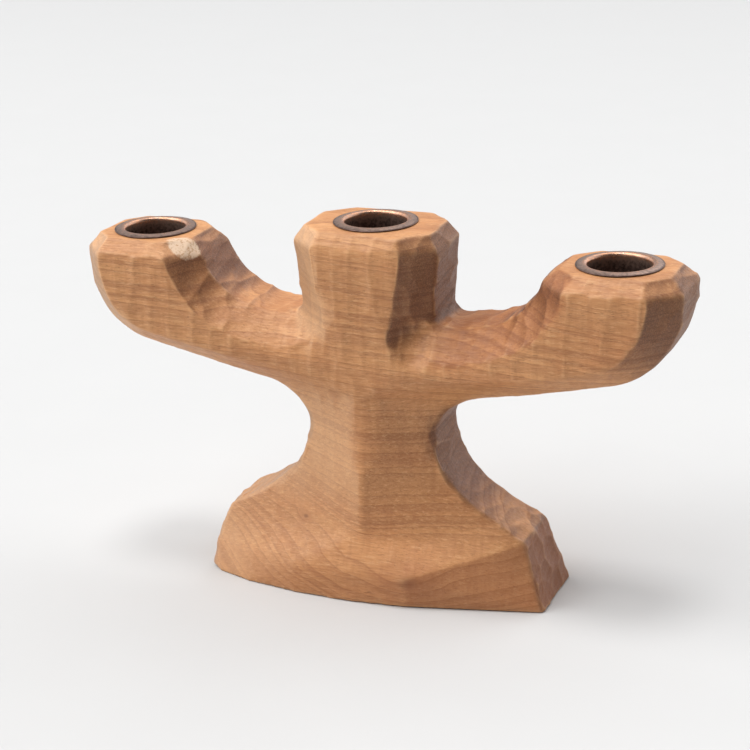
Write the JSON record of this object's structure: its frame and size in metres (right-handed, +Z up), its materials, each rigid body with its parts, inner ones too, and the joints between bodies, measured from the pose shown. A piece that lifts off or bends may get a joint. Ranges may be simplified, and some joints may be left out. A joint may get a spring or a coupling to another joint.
{
  "type": "candlestick",
  "caption": "Low carved wooden candlestick with two side arms and a centre head, each holding a flanged metal candle cup, on a flared stem and a boat-shaped foot.",
  "frame": {"origin": "middle of the underside that stands on the table", "axes": "+X along the row of cups towards the right-hand arm, front face towards -Y, +Z up"},
  "size_m": [0.2348, 0.06, 0.1398],
  "materials": {
    "wood": "oiled, knife-carved, horizontal grain",
    "cup_metal": "dark bronze patina, worn brighter at the lip"
  },
  "bodies": {
    "root": {"wooden_body": "wood", "candle_cup_left": "cup_metal", "candle_cup_centre": "cup_metal", "candle_cup_right": "cup_metal"}
  },
  "joints": []
}
